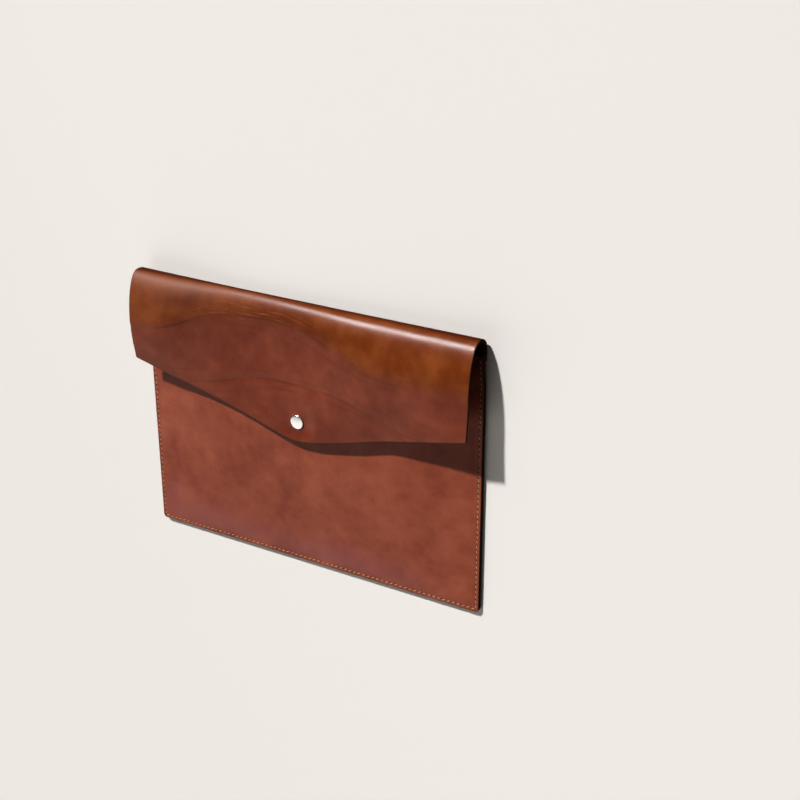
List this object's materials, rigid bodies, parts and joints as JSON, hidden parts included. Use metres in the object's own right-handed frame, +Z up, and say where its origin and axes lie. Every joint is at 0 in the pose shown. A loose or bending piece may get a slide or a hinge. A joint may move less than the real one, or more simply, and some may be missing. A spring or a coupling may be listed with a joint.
{
  "type": "leather document case",
  "caption": "Flat leather case for A4 papers: a pocket sewn on three sides under a V-shaped envelope flap that closes with a press stud.",
  "frame": {"origin": "under the middle of the whole case, on the plane that it rests on", "axes": "+X across the case along its fold, +Y from the bottom edge to the fold, +Z up out of the front"},
  "size_m": [0.3402, 0.255, 0.0339],
  "materials": {
    "body_leather": "smooth waxed chestnut leather, semi-gloss, softly mottled",
    "flap_leather": "smooth waxed chestnut leather, semi-gloss, creased by opening",
    "snap_metal": "pale nickel plate, satin",
    "stud_metal": "nickel plate, slightly dull"
  },
  "bodies": {
    "root": {"back_panel": "body_leather", "front_panel": "body_leather", "flap": "flap_leather", "snap_cap": "snap_metal", "snap_stud": "stud_metal"}
  },
  "joints": []
}
